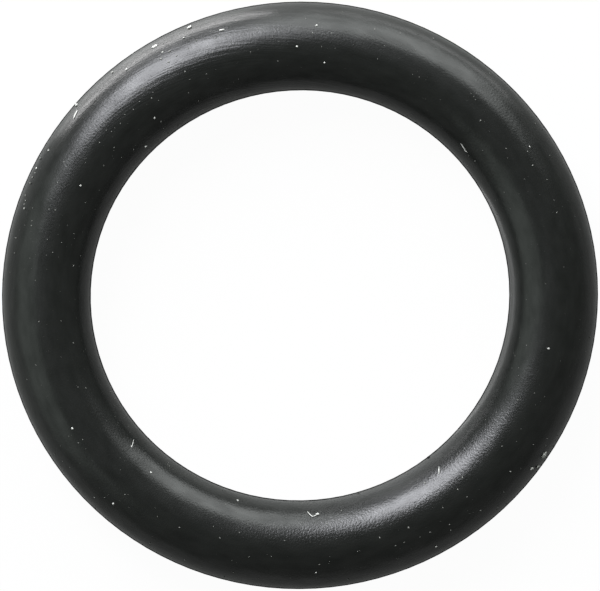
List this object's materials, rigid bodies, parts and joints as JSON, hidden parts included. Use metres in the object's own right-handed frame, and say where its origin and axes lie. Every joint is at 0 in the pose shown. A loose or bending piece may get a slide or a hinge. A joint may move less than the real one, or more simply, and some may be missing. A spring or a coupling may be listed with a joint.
{
  "type": "rubber o-ring",
  "caption": "Black rubber ring of round section that seals the gap between a shaft and its housing when squeezed in a groove.",
  "frame": {"origin": "centre of the ring, on its mid-plane", "axes": "+Z along the ring's axis; the ring lies flat, and X and Y are any two directions across it"},
  "size_m": [0.027, 0.027, 0.004],
  "materials": {
    "nitrile_rubber": "satin, moulded, lightly dusted"
  },
  "bodies": {
    "root": {"o_ring": "nitrile_rubber"}
  },
  "joints": []
}
